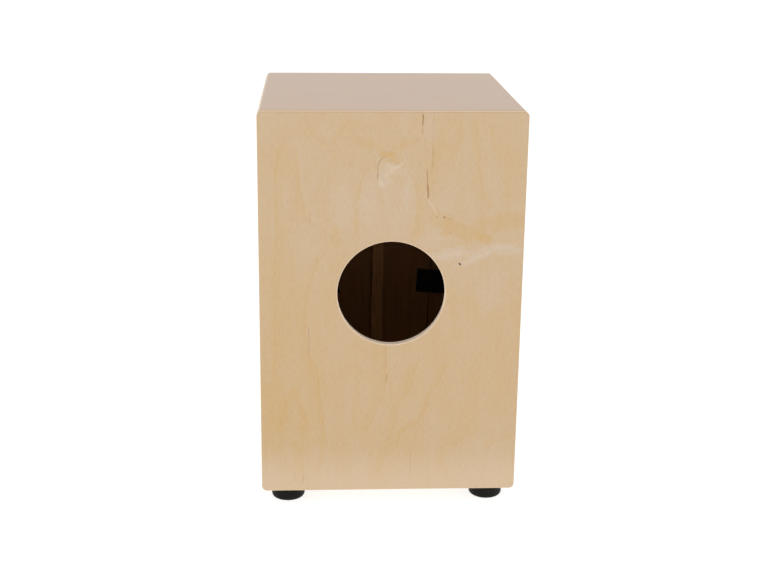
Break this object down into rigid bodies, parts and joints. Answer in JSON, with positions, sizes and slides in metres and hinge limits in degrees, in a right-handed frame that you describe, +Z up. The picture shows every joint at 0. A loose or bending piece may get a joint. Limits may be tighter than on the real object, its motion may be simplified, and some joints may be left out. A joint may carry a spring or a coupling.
{
  "type": "cajon",
  "caption": "Free-standing wooden box drum to sit on, with a thin front plate to strike, snare wires behind it, a round sound hole in the back and rubber feet.",
  "frame": {"origin": "on the floor, midway between the four feet", "axes": "+Z up; -Y is the side of the front plate that is played; +Y is the side of the sound hole; +X is the sitter's left"},
  "size_m": [0.3, 0.305, 0.473],
  "materials": {
    "veneered_plywood": "birch veneer on plywood, clear satin lacquer",
    "thin_plywood": "birch-faced thin plywood, clear satin lacquer",
    "raw_pine": "planed and unfinished",
    "black_rubber": "moulded, matte",
    "black_felt": "dense felt pad",
    "bright_steel": "zinc-plated or drawn bright steel",
    "black_steel": "black-oxide screws"
  },
  "bodies": {
    "root": {"top_panel": "veneered_plywood", "bottom_panel": "veneered_plywood", "left_side_panel": "veneered_plywood", "right_side_panel": "veneered_plywood", "back_panel": "veneered_plywood", "front_plate": "thin_plywood", "front_batten_left": "raw_pine", "front_batten_right": "raw_pine", "front_batten_bottom": "raw_pine", "front_batten_top": "raw_pine", "rear_batten_left": "raw_pine", "rear_batten_right": "raw_pine", "rear_batten_bottom": "raw_pine", "rear_batten_top": "raw_pine", "snare_strut": "raw_pine", "snare_wires": "bright_steel", "snare_screw_lower_left": "bright_steel", "snare_screw_lower_right": "bright_steel", "snare_screw_upper_left": "bright_steel", "snare_screw_upper_right": "bright_steel", "string_left": "bright_steel", "string_right": "bright_steel", "string_eye_upper_left": "bright_steel", "string_eye_upper_right": "bright_steel", "string_eye_lower_left": "bright_steel", "string_eye_lower_right": "bright_steel", "string_damper_left": "black_felt", "string_damper_right": "black_felt", "plate_screw_left_1": "black_steel", "plate_screw_left_2": "black_steel", "plate_screw_left_3": "black_steel", "plate_screw_left_4": "black_steel", "plate_screw_left_5": "black_steel", "plate_screw_right_1": "black_steel", "plate_screw_right_2": "black_steel", "plate_screw_right_3": "black_steel", "plate_screw_right_4": "black_steel", "plate_screw_right_5": "black_steel", "plate_screw_bottom_1": "black_steel", "plate_screw_bottom_2": "black_steel", "plate_screw_bottom_3": "black_steel", "plate_screw_top_1": "black_steel", "plate_screw_top_2": "black_steel", "plate_screw_top_3": "black_steel", "foot_front_left": "black_rubber", "foot_front_right": "black_rubber", "foot_rear_left": "black_rubber", "foot_rear_right": "black_rubber", "foot_washer_front_left": "bright_steel", "foot_washer_front_right": "bright_steel", "foot_washer_rear_left": "bright_steel", "foot_washer_rear_right": "bright_steel", "foot_screw_front_left": "bright_steel", "foot_screw_front_right": "bright_steel", "foot_screw_rear_left": "bright_steel", "foot_screw_rear_right": "bright_steel"}
  },
  "joints": []
}
